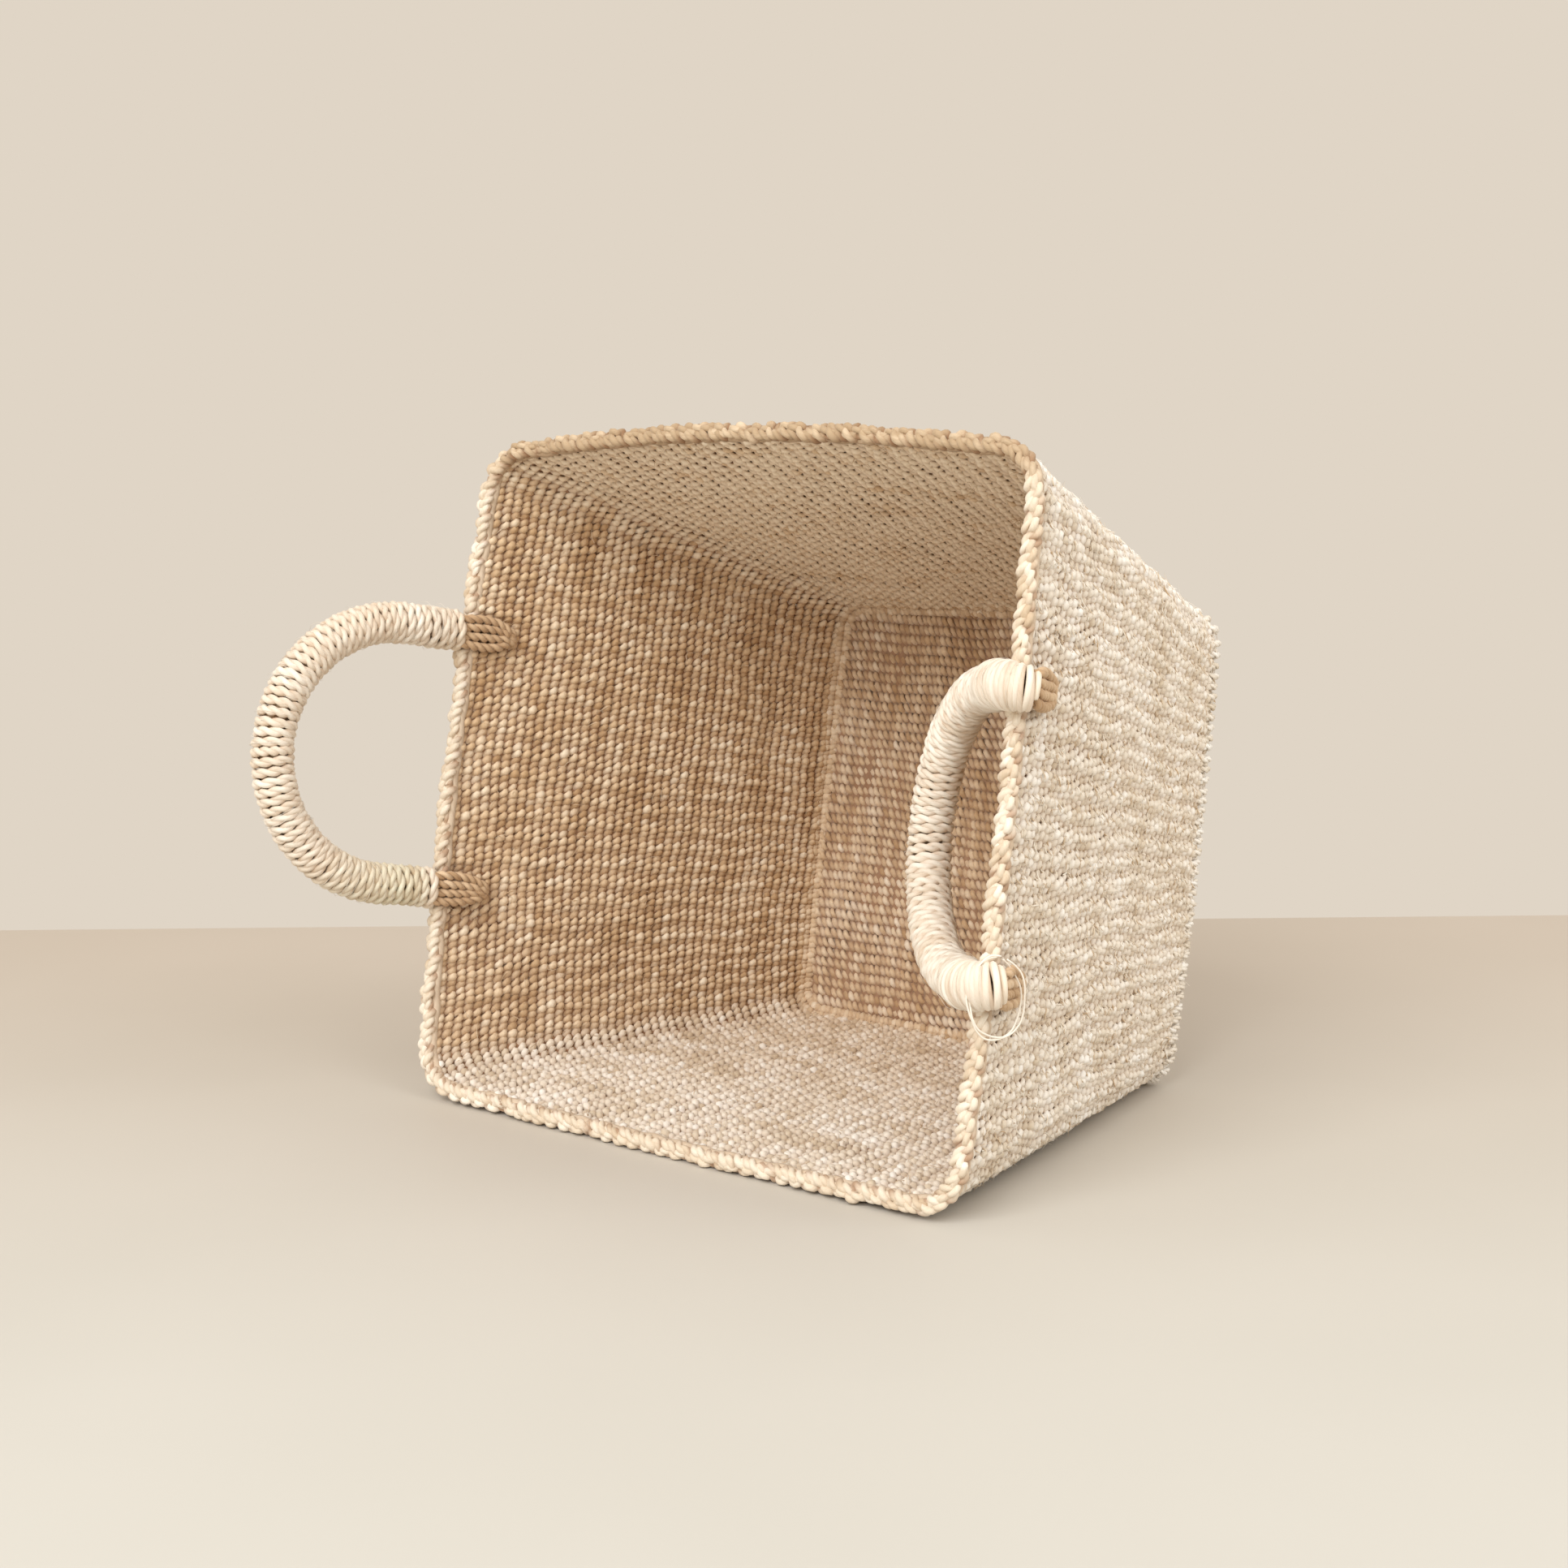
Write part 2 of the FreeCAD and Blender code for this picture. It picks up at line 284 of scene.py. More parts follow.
def smooth(points, n, closed=False):
    """Catmull-Rom through the points, then n points evenly spaced along it."""
    p = np.asarray(points, float)
    if closed:
        q = np.concatenate([p[-1:], p, p[:2]])
    else:
        q = np.concatenate([2 * p[:1] - p[1:2], p, 2 * p[-1:] - p[-2:-1]])
    t = np.linspace(0, 1, 24, endpoint=False)[:, None]
    out = []
    for i in range(1, len(q) - 2):
        a, b, c, d = q[i - 1], q[i], q[i + 1], q[i + 2]
        out.append(0.5 * (2 * b + (c - a) * t + (2 * a - 5 * b + 4 * c - d) * t**2 + (3 * b - a - 3 * c + d) * t**3))
    out = np.concatenate(out + ([] if closed else [p[-1:]]))
    if closed:
        out = np.concatenate([out, out[:1]])
    s = np.concatenate([[0], np.cumsum(np.linalg.norm(np.diff(out, axis=0), axis=1))])
    g = np.linspace(0, s[-1], n, endpoint=not closed)
    return np.stack([np.interp(g, s, out[:, k]) for k in range(3)], -1), s[-1]


def frames(C, first=None):
    """Tangents and rotation-minimising normals along an open path."""
    T = unit(np.gradient(C, axis=0))
    n0 = np.cross(T[0], [0.3, 0.5, 0.8]) if first is None else np.asarray(first, float)
    N = [unit(n0 - T[0] * (n0 @ T[0]))]
    for i in range(1, len(C)):
        n = N[-1] - T[i] * (N[-1] @ T[i])
        N.append(n / np.linalg.norm(n))
    N = np.array(N)
    return T, N, np.cross(T, N)


def plied(B, C, R, pitch, plies=2, sides=6, tone=0.5, deep=None, side=1.0, first=None, phase=0.0, squash=1.0, seed=0, taper=0.0):
    """A twisted cord of radius R along C: each ply a tube wound right-handed round the path."""
    T, N, M = frames(C, first)
    s = np.concatenate([[0], np.cumsum(np.linalg.norm(np.diff(C, axis=0), axis=1))])
    r = np.random.default_rng(seed)
    ply = R * (0.56 if plies == 2 else 0.5)
    ring = R - ply
    shrink = np.ones(len(C))
    if taper:
        shrink = np.minimum(1.0, np.minimum(s, s[-1] - s) / taper * 0.6 + 0.4)
    for k in range(plies):
        a = phase + TAU * (s / pitch + k / plies)
        c, d = np.cos(a)[:, None], np.sin(a)[:, None]
        Q = C + (N * c + M * d) * (ring * shrink)[:, None] * squash
        rad = N * c + M * d
        Tq = unit(np.gradient(Q, axis=0))
        E1 = unit(rad - Tq * (rad * Tq).sum(1, keepdims=True))
        E2 = np.cross(Tq, E1)
        lk = np.zeros((len(C), 3))
        lk[:, 0] = tone + 0.12 * np.sin(s / 9.0 + r.uniform(0, 9)) + r.normal(0, 0.05)
        lk[:, 1] = 0.0 if deep is None else deep
        lk[:, 2] = side
        B.tubes(Q, E1, E2, ply * shrink, ply * shrink * 1.06, sides=sides, along=s + r.uniform(0, 500), twist=0.55, look=lk)


# =============================================================================================
# 1. Twined wall: weft rows over warps
# =============================================================================================
SEG = 4
PLY = 3.44               # length of row that one ply's hump takes up
ROWS = 44
ROW_W = np.linspace(3.6, DEPTH - 3.4, ROWS)


def cloth(theta, w):
    """Mid-surface of the cloth with its soft unevenness."""
    th = theta + 0.28 * wander(theta, w)
    ww = w + 0.42 * drift(theta, w)
    c, T, D, N = skin_frame(th, ww)
    u = np.abs((theta / N_WARP - 0.5 + 0.02 * np.sin(w / 30.0) + 0.5) % 1.0 - 0.5)
    crease = 1.3 * np.exp(-(((w - 170.0 - 4.0 * np.sin(theta / 9.0)) / 7.0) ** 2)) * np.exp(-((u / 0.11) ** 4))
    return c + N * (0.6 * swell(theta, w) + crease)[..., None], T, D, N


def rib_of(theta, w):
    """1 over a warp, 0 in the valley between two."""
    return 0.5 + 0.5 * np.cos(TAU * (theta + 0.12 * ribber(theta * 0.5, w)) / 3.0)


def strand(B, c, T, D, N, phase, rib, size, tone, closed, sides, puff=0.12, pale=0.0, wide=1.0, body=1.0, gap_shade=1.0):
    """One of a row's two yarns: a right-handed spiral flattened into the cloth, proud over each warp."""
    cosp, sinp = np.cos(phase), np.sin(phase)
    C = c + N * (cosp * (0.86 + 1.48 * rib))[..., None] + D * (sinp * 1.28 * wide)[..., None]
    if closed:
        Tq = unit(np.roll(C, -1, -2) - np.roll(C, 1, -2))
    else:
        Tq = unit(np.gradient(C, axis=-2))
    E1 = unit(N - Tq * (N * Tq).sum(-1, keepdims=True))
    E2 = np.cross(Tq, E1)
    near = np.abs(cosp)
    fat = size * (1 + puff * np.maximum(cosp, 0))
    look = np.zeros(C.shape)
    out = np.clip(0.5 + 0.9 * cosp, 0, 1)
    # painted shade: the tone is lowered in the valleys between warps, and the second channel of look darkens the
    # strand where it dips between the faces and in the valleys
    look[..., 0] = np.clip(0.5 + (tone - 0.5) * (1 - 0.25 * out) - 0.12 * (1 - rib), 0, 1)
    look[..., 1] = np.clip(gap_shade * ((1 - near) ** 1.6 * 0.6 + 0.22 * (1 - rib)) * (1 - 0.20 * out), 0, 1)
    look[..., 2] = np.maximum(out, pale)
    B.tubes(C, E1, E2, (1.0 + 0.17 * near) * fat, (1.52 + 0.14 * near) * fat * body, closed=closed, sides=sides, twist=0.5, look=look)


def weft_band(name, rows):
    B = Build()
    m = len(rows)
    theta = np.arange(N_WARP * SEG) / SEG
    th = np.broadcast_to(theta, (m, len(theta)))
    w = np.broadcast_to(ROW_W[rows][:, None], th.shape)
    c, T, D, N = cloth(th, w)
    r = np.random.default_rng(900 + rows[0])
    start = r.uniform(0, 2, (m, 1))
    ease = 0.14 * drift(th + 40, w) + 0.16 * wander(th, w * 0.7 + 30)
    rib = rib_of(th, w)
    broad = patch(th, w)
    # painted light: the inside of the wall it lies on is mixed towards the paler outer colours, less so towards the
    # base, standing in for light coming in at the mouth; the inside of the wall above a little too
    pale = np.clip(-N[..., 2] * 1.4, 0, 0.95) * (1 - 0.50 * w / DEPTH) + np.clip(N[..., 2] * 0.06, 0, 0.05)
    # painted light: the wall above is toned lighter, inside and out, standing in for light bounced onto it
    painted_light_tint = np.clip(N[..., 2], 0, 1) * 0.62
    for k in (0, 1):
        turn = th + start + ease + k
        hump = np.floor(turn + 0.5).astype(int) % (N_WARP * 2)
        rows_i = np.arange(m)[:, None]
        tone1 = r.normal(0, 0.14, (m, N_WARP * 2))[rows_i, hump]
        size1 = 1 + r.normal(0, 0.075, (m, N_WARP * 2))[rows_i, hump]
        walk = np.cumsum(r.normal(0, 1, (m, N_WARP)), 1)
        walk -= np.linspace(0, 1, N_WARP)[None] * (walk[:, -1:] - walk[:, :1])
        walk = (walk - walk.mean(1, keepdims=True)) / (walk.std(1, keepdims=True) + 1e-6)
        tone = 0.5 + painted_light_tint + 0.09 * np.repeat(walk, SEG, 1) + tone1 + 0.09 * broad + r.normal(0, 0.05, (m, 1))
        size = size1 * (1 + 0.035 * np.repeat(walk, SEG, 1)) * (1 + r.normal(0, 0.02, (m, 1)))
        strand(B, c, T, D, N, math.pi * turn, rib, size, tone, True, 6, pale=pale)
    return B.mesh(name)


bands = []
edges = [0, 6, 12, 18, 24, 30, 36, 40, 44]
for i in range(len(edges) - 1):
    rows = np.arange(edges[i], edges[i + 1])
    bands.append(weft_band("weft_rows_%02d_to_%02d" % (rows[0] + 1, rows[-1] + 1), rows))

# warps: the flat stiff cords that the rows close round, seen only in the gaps
B = Build()
ws = np.linspace(0.5, DEPTH - 1.5, 40)
K_WARP = 162
th = np.broadcast_to((np.arange(K_WARP) * N_WARP / K_WARP)[:, None], (K_WARP, len(ws)))
w = np.broadcast_to(ws[None], th.shape)
c, T, D, N = cloth(th, w)
look = np.zeros(c.shape)
look[..., 0] = 0.30 + 0.10 * patch(th, w)
# painted shade: the warps are toned darker and darkened almost fully towards the gap colour, since they show only in
# the shaded gaps
look[..., 1] = 0.9
look[..., 2] = 0.4
B.tubes(c, N, T, 0.75, 4.1 * (1 - 0.27 * w / DEPTH), sides=6, look=look)
warps = B.mesh("warp_cords")


# =============================================================================================
# 2. Base panel: the same twining, rows across
# =============================================================================================
base_ripple = ripple(12, 9, 9.0, 31)
BASE_MID = DEPTH - BASE_T / 2


def base_half_width(v, inset):
    """Half width of the base at height v, inside the outer surface by inset."""
    arcs = section(BASE_W, BASE_H, BASE_BULGE, BASE_R, inset)
    k = np.repeat(np.arange(8), 60)
    t = np.tile(np.linspace(0, 1, 60), 8)
    uu, vv = on_arcs(arcs, k, t)
    right = uu > 0
    o = np.argsort(vv[right])
    return np.interp(v, vv[right][o], uu[right][o])


BROWS = 43
BV = np.linspace(-(BASE_H / 2 - 5.6), BASE_H / 2 - 4.2, BROWS)


def base_band(name, rows):
    B = Build()
    for j in rows:
        v0 = BV[j]
        half = float(base_half_width(min(max(v0, -100), 100), 4.6))
        r = np.random.default_rng(4000 + j)
        u = np.arange(-half, half, PLY / SEG)
        rip = base_ripple(u * 0.9, np.full_like(u, v0))
        lift = base_ripple(u * 1.7 + 40, np.full_like(u, v0 * 1.3))
        c = P(u, v0 + 0.4 * rip, BASE_MID + 0.5 * lift)
        n = len(u)
        T, D, N = (np.broadcast_to(a, (n, 3)) for a in (AXIS_U, AXIS_V, AXIS_W))
        rib = 0.5 + 0.5 * np.cos(TAU * (u + 1.0 * np.sin(v0 / 19.0)) / (3 * PLY))
        start, slow = r.uniform(0, 2), 0.4 * base_ripple(u * 0.6, np.full_like(u, v0 + 90))
        for k in (0, 1):
            turn = u / PLY + start + slow + k
            hump = np.floor(turn + 0.5).astype(int) + 200
            tone = 0.5 + r.normal(0, 0.13, 400)[hump] + 0.10 * rip + r.normal(0, 0.05)
            size = 1.0 + r.normal(0, 0.075, 400)[hump]
            strand(B, c, T, D, N, math.pi * turn, rib * 0.7, size, tone, False, 5, 0.08, wide=1.32, body=0.93, gap_shade=1.6)
    return B.mesh(name)


base_pieces = [base_band("base_weave_lower", range(0, 22)), base_band("base_weave_upper", range(22, BROWS))]
B = Build()
for u0 in np.arange(-100.0, 100.1, 6.6):
    vv = np.linspace(-(BASE_H / 2 - 4.6), BASE_H / 2 - 3.6, 24)
    vv = vv[np.abs(u0) < base_half_width(np.clip(vv, -100, 100), 3.8)]
    if len(vv) < 3:
        continue
    C = P(np.full_like(vv, u0), vv, np.full_like(vv, BASE_MID))
    look = np.zeros((len(vv), 3))
    # painted shade: these warps are toned darker and darkened almost fully towards the gap colour, since they show
    # only in the shaded gaps
    look[:, 0], look[:, 1], look[:, 2] = 0.30, 0.9, 0.4
    B.tubes(C, np.broadcast_to(AXIS_W, C.shape), np.broadcast_to(AXIS_U, C.shape), 0.75, 3.9, sides=6, look=look)
base_pieces.append(B.mesh("base_warp_cords"))

# =============================================================================================
# 3. Base lacing: overcast stitches that join walls and base, inside and outside the edge
# =============================================================================================
K = 176
B = Build()
r = np.random.default_rng(7000)
th = np.arange(N_WARP * SEG) / SEG
# two rows of the weave carried round the inside corner, where the base is laced in
for inset, w_row, lean, kk in ((3.9, DEPTH - BASE_T + 0.1, 0.42, 0), (6.6, DEPTH - BASE_T + 2.5, 1.10, 1)):
    _, T0, _, N0 = skin_frame(th, np.full(len(th), w_row))
    c = skin(th, w_row + 0.3 * np.sin(th * 0.31 + kk), inset)
    Nr = unit(N0 * math.cos(lean) + AXIS_W * math.sin(lean))
    Dr = unit(np.cross(T0, Nr))
    for k in (0, 1):
        turn = th + 0.37 * kk + k
        hump = np.floor(turn + 0.5).astype(int) % (N_WARP * 2)
        tone = 0.44 + r.normal(0, 0.13, N_WARP * 2)[hump]
        size = 1.04 + r.normal(0, 0.08, N_WARP * 2)[hump]
        strand(B, c, T0, Dr, Nr, math.pi * turn, rib_of(th, np.full(len(th), w_row)) * 0.8, size, tone, True, 6, gap_shade=1.2, pale=np.full(len(th), 0.12), wide=1.1)
lacing_in = B.mesh("base_lacing_inside")

B = Build()
for k in range(K):
    r = np.random.default_rng(8000 + k)
    th = (k + 0.5 + r.normal(0, 0.06)) * N_WARP / K
    lean = 0.5 + r.normal(0, 0.12)
    pts = [
        skin(th - lean * 1.1, DEPTH - 7.4, 2.4),
        skin(th - lean, DEPTH - 6.0, 0.1),
        skin(th - lean * 0.5, DEPTH - 2.6, -0.5),
        skin(th, DEPTH - 0.4, 1.2),
        skin(th + lean * 0.5, DEPTH + 0.5, 3.8),
        skin(th + lean, DEPTH + 0.2, 7.6),
        skin(th + lean * 1.1, DEPTH - 2.0, 9.0),
    ]
    C, _ = smooth(pts, 20)
    plied(B, C, 1.7 + r.normal(0, 0.08), 7.5, sides=5, tone=0.55 + r.normal(0, 0.10), side=1.0, seed=k + 500, phase=r.uniform(0, 6))
lacing_out = B.mesh("base_lacing_outside")

# =============================================================================================
# 4. Rim: a narrow plaited edging of three plied strands, about one lump every 8 mm
# =============================================================================================
B = Build()
PLAITS = 48
SUB = 26
tt = np.arange(PLAITS * SUB) / SUB
th = tt * N_WARP / PLAITS
c0, T0, D0, N0 = skin_frame(th, np.zeros(len(th)))
up = np.clip(N0[:, 2], 0, 1)
uneven = ripple(14, 60, 0.0, 77)
uneven2 = ripple(14, 90, 0.0, 78)
# a soft filling under the plait
for dn, dw, rr, ph in ((-1.2, 1.6, 2.1, 0.0), (1.3, 1.7, 2.1, 0.5)):
    C = c0 + N0 * (dn + 0.3 * np.sin(TAU * (tt * 1.7 + ph)))[:, None] + D0 * (dw + 0.3 * np.cos(TAU * (tt + ph)))[:, None]
    # painted shade: the filling is darkened, and where the rim faces up it is toned lower and mixed towards the darker
    # inner colours
    look = np.stack([0.4 - 0.25 * up, np.full(len(tt), 0.25), 0.75 - 0.5 * up], -1)
    B.tubes(C, N0, D0, rr, rr, closed=True, sides=7, look=look, twist=0.4, along=tt * 22 + ph * 400)
r = np.random.default_rng(51)
for strand_i in range(3):
    phi = TAU * (tt + strand_i / 3.0) + 0.35 * uneven(th + 30 * strand_i, 0.0)
    wide = 1.8 * (1 + 0.14 * uneven2(th + 11 * strand_i, 0.0))
    C = c0 + N0 * (0.1 + wide * np.sin(phi))[:, None] + D0 * (-0.75 + 1.0 * np.sin(2 * phi) + 0.35 * uneven(th + 70, 0.0))[:, None]
    Tq = unit(np.roll(C, -1, 0) - np.roll(C, 1, 0))
    E1 = unit(N0 - Tq * (N0 * Tq).sum(-1, keepdims=True))
    E2 = np.cross(Tq, E1)
    fat = 1.50 * (1 + 0.11 * uneven2(th * 1.3 + 50 * strand_i, 0.0))
    s_len = tt * RIM_LENGTH / PLAITS
    turns = np.round(RIM_LENGTH / 8.0)
    lump = np.interp(tt * 3, np.arange(PLAITS * 3 + 1), r.normal(0, 0.13, PLAITS * 3 + 1))
    for ply in (0, 1):
        a = TAU * turns * tt / PLAITS + math.pi * ply
        Q = C + (E1 * np.cos(a)[:, None] + E2 * np.sin(a)[:, None]) * (0.62 * fat)[:, None]
        # painted shade: the plait is toned darker where it faces up, and darkened where each strand passes under the
        # others
        look = np.stack([np.clip(0.50 + 1.3 * lump + 0.04 * (-1) ** ply - 0.36 * up, 0, 1), np.clip(0.5 + 0.5 * np.sin(2 * phi), 0, 1) ** 2 * 0.8, 0.80 - 0.6 * up], -1)
        B.tubes(Q, E1, E2, 1.06 * fat, 1.06 * fat, closed=True, sides=7, look=look, twist=0.45, along=s_len + 300 * ply + 900 * strand_i)
rim = B.mesh("rim_plait")


# =============================================================================================
# 5. Handles
# =============================================================================================
class Side:
    """s out past the mouth along the wall, n outwards, t along the rim, for one side wall."""

    def __init__(self, sign, k, half, straight, v):
        bm = MOUTH_BULGE[k] * (1 - (half / (MOUTH_H / 2)) ** 2)
        bb = BASE_BULGE[k] * (1 - (half / (BASE_H / 2)) ** 2)
        lean = (MOUTH_W / 2 + bm) - (BASE_W / 2 + bb)
        length = math.hypot(lean, DEPTH)
        self.u0 = sign * (MOUTH_W / 2 + bm)
        self.half, self.straight, self.v = half, straight, v
        self.sd = (sign * lean / length, -DEPTH / length)
        self.nd = (sign * DEPTH / length, lean / length)

    def at(self, s, n, t):
        s, n, t = (np.asarray(x, float) for x in (s, n, t))
        return P(self.u0 + s * self.sd[0] + n * self.nd[0], self.v + t, s * self.sd[1] + n * self.nd[1])

    def vec(self, s, n, t):
        return self.at(s, n, t) - self.at(0, 0, 0)


LEFT, RIGHT = Side(-1, 2, 58.0, 31.0, 4.0), Side(1, 0, 55.5, 33.5, -1.5)


def bow_path(side, fold, root):
    """Centre line of one handle from its upper leg's root round to the lower leg's root."""
    f = math.radians(fold)

    def bow(r, t):
        return side.at(PIVOT_S + r * math.cos(f), PIVOT_N - r * math.sin(f), t)

    r1, half = side.straight - PIVOT_S, side.half
    upper = [side.at(s, n, half + dt) for s, n, dt in root]
    lower = [side.at(s, n, -half - dt) for s, n, dt in root][::-1]
    arc = [bow(r1 + half * math.sin(a), half * math.cos(a)) for a in np.linspace(0.0, math.pi, 25)]
    C, length = smooth(upper + arc + lower, 1200)
    return C, length


def wrapped(name, side, fold, root, pitch, slit=None, seed=0, green=False):
    """Twine wound round the whole bow, as two plies with a visible twist, and the rope inside it."""
    C, length = bow_path(side, fold, root)
    flat = side.vec(0, 1, 0) if fold < 45 else side.vec(math.sin(math.radians(fold)), math.cos(math.radians(fold)), 0)
    T, N, M = frames(C, flat)
    r = np.random.default_rng(seed)
    # how many turns by each place: even, with jitter, and a parting of the turns if there is one
    g = np.linspace(0, length, len(C))
    bend = np.linalg.norm(np.gradient(T, g, axis=0), axis=1)
    bend = np.convolve(np.pad(bend, 20, mode="edge"), np.ones(41) / 41, "valid")
    density = 1.0 / pitch * (1 + 0.85 * np.minimum(bend * 9.5, 1.4)) * (1 + 0.08 * np.interp(g, np.linspace(0, length, 60), r.normal(0, 1, 60)))
    if fold > 45:
        near = np.minimum(g, length - g)
        density = density * (1 + 0.30 * np.exp(-((near / 34.0) ** 4)))
    if slit is not None:
        at, wide = slit
        density = density * (1 - 0.97 * np.exp(-(((g - at) / wide) ** 4)))
    turns = np.concatenate([[0], np.cumsum(0.5 * (density[1:] + density[:-1]) * np.diff(g))])
    total = turns[-1]
    per = 46
    q = np.linspace(0, total, int(total * per))
    gq = np.interp(q, turns, g)
    Ci, Ni, Mi, Ti = (np.stack([np.interp(gq, g, X[:, k]) for k in range(3)], -1) for X in (C, N, M, T))
    Ni, Mi, Ti = unit(Ni), unit(Mi), unit(Ti)
    a = TAU * q
    ends = np.minimum(gq, length - gq)
    R = 7.65 + 0.13 * np.interp(q, np.arange(0, total + 2), r.normal(0, 1, len(np.arange(0, total + 2))))
    if fold > 45:
        R = R * np.sqrt(1 - 0.62 * np.clip(1 - ends / 5.0, 0, 1) ** 2)
    wob = 0.30 * np.sin(a + np.interp(q, np.arange(0, total + 2, 3), r.uniform(-1.5, 1.5, len(np.arange(0, total + 2, 3)))))
    rad = Ni * np.cos(a)[:, None] + Mi * np.sin(a)[:, None]
    Q = Ci + rad * R[:, None] + Ti * wob[:, None]
    Tq = unit(np.gradient(Q, axis=0))
    E1 = unit(rad - Tq * (rad * Tq).sum(1, keepdims=True))
    E2 = np.cross(Tq, E1)
    arc = np.concatenate([[0], np.cumsum(np.linalg.norm(np.diff(Q, axis=0), axis=1))])
    B = Build()
    tw = TAU * np.cumsum(np.concatenate([[0], np.diff(arc) / (13.0 + 2.0 * np.interp(arc[1:], np.linspace(0, arc[-1], 80), r.normal(0, 1, 80)))]))
    if fold > 45:      # the last turns are laid almost flat
        slow = np.cumsum(np.concatenate([[0], np.diff(tw) * (1 - 0.88 * np.exp(-((ends[1:] / 30.0) ** 4)))]))
        tw = slow
    tone_turn = np.interp(q, np.arange(0, total + 2), r.normal(0, 0.13, len(np.arange(0, total + 2))))
    for k in (0, 1):
        ang = tw + math.pi * k
        off = E1 * np.cos(ang)[:, None] * 0.36 + E2 * np.sin(ang)[:, None] * 0.86
        Qk = Q + off
        look = np.zeros((len(Q), 3))
        look[:, 0] = (0.84 if fold > 45 else 0.62) + tone_turn + 0.05 * (-1) ** k
        # painted shade: each ply is darkened where it turns in towards the rope core and where the two plies lie side
        # by side
        look[:, 1] = np.clip(-np.cos(ang), 0, 1) * 0.45 + 0.18 * np.abs(np.sin(ang))
        look[:, 2] = np.clip(1.0 - 0.8 * np.exp(-ends / 5.0), 0, 1)
        if green:
            look[:, 2] += np.clip((gq - length + 62) / 45, 0, 1) * 0.5
        B.tubes(Qk, E1, E2, 1.50, 1.36 if fold > 45 else 1.50, sides=7, look=look, twist=0.42, along=arc + k * 900)
    # stray filaments lifting off the winding
    for k in range(90):
        i = int(r.uniform(30, len(Q) - 60))
        m = int(r.uniform(14, 44))
        seg = slice(i, i + m)
        lift = np.linspace(0, 1, m) ** 2 * r.uniform(0.3, 2.2) + 1.45
        path = Q[seg] + E1[seg] * lift[:, None] + E2[seg] * (np.linspace(0, 1, m) * r.normal(0, 2.2))[:, None]
        path = path[::4]
        if len(path) < 4:
            continue
        T3, N3, M3 = frames(path)
        look = np.tile([0.8, 0.0, 1.0], (len(path), 1))
        w3 = 0.13 * np.linspace(1, 0.5, len(path))
        B.tubes(path, N3, M3, w3, w3, sides=3, look=look)
    wrap = B.mesh(name + "_twine_wrapping")
    # the rope core: four cords twisted together
    B = Build()
    inner = slice(30, -30)
    Cc, _ = smooth(C[inner][::8], 420)
    plied(B, Cc, 5.7, 34.0, plies=4, sides=7, tone=0.4, side=0.45, first=flat, seed=seed + 5)
    plied(B, Cc, 3.0, 25.0, plies=2, sides=6, tone=0.35, side=0.45, first=flat, seed=seed + 6)
    core = B.mesh(name + "_rope_core")
    return wrap, core, C


ROOT_LEFT = [(4.6, -3.4, 0.4), (8.0, -3.2, 0.2), (13.0, -3.0, 0.0), (21.0, -3.0, 0.0)]
ROOT_RIGHT = [(7.2, 7.0, -1.2), (9.8, 2.6, -0.6), (10.4, -2.8, 0.0), (7.6, -7.8, 0.2), (2.0, -11.0, 0.2), (-4.6, -13.2, 0.0), (-11.2, -16.9, 0.0)]
wrap_l, core_l, path_l = wrapped("left_handle", LEFT, 0.0, ROOT_LEFT, 4.45, seed=61, green=True)
wrap_r, core_r, path_r = wrapped("right_handle", RIGHT, 138.5, ROOT_RIGHT, 4.75, slit=(30.0, 3.0), seed=62)


# =============================================================================================
# 6. Tethers: the bare core cords of each leg, through the wall and back
# =============================================================================================
def tether(name, side, t0, folded, seed):
    B = Build()
    r = np.random.default_rng(seed)
    for k in range(4):
        f = (k - 1.5) / 1.5
        wide = 5.9 * f
        low = -22.6 + 1.0 * abs(f) + r.normal(0, 0.4)
        tip = 1.5 * f
        sag = r.normal(0, 0.35)
        inn = [
            (11.0, -3.6, t0 + wide * 0.6), (6.0, -7.4, t0 + wide * 0.9), (1.0, -9.2, t0 + wide), (-6.0, -8.9, t0 + wide * 0.98 + sag),
            (-13.0, -8.6, t0 + wide * 0.82 + sag), (low + 4.0, -8.2, t0 + tip * 2.2), (low, -6.4, t0 + tip * 1.3), (low - 0.8, -3.0, t0 + tip),
        ]
        if folded:
            out = [
                (low, 0.4, t0 + tip * 1.3), (low + 3.0, 3.0, t0 + tip * 2.4), (-12.0, 4.4, t0 + wide * 0.9 - sag), (-5.0, 5.6, t0 + wide * 1.05 + sag),
                (1.5, 6.8, t0 + wide * 1.05), (6.5, 7.6, t0 + wide * 0.9), (9.0, 4.0, t0 + wide * 0.6),
            ]
        else:
            out = [
                (low, 0.4, t0 + tip * 1.3), (low + 4.0, 2.6, t0 + tip * 2.2), (-13.0, 3.0, t0 + wide * 0.82 - sag), (-6.0, 3.3, t0 + wide * 0.98),
                (1.0, 3.2, t0 + wide), (6.0, 1.2, t0 + wide * 0.9), (11.0, -2.4, t0 + wide * 0.6),
            ]
        C, _ = smooth([side.at(*p) for p in inn + out], 110)
        plied(B, C, 2.25 + r.normal(0, 0.09), 9.0, sides=7, tone=0.36 + r.normal(0, 0.09), side=0.6 if folded else 0.45, seed=seed * 10 + k, phase=r.uniform(0, 6))
    return B.mesh(name)


tethers = {}
for name, side, folded in (("left", LEFT, False), ("right", RIGHT, True)):
    for place, t in (("upper", side.half), ("lower", -side.half)):
        tethers[name, place] = tether("%s_%s_tether_cords" % (name, place), side, t, folded, 70 + len(tethers))

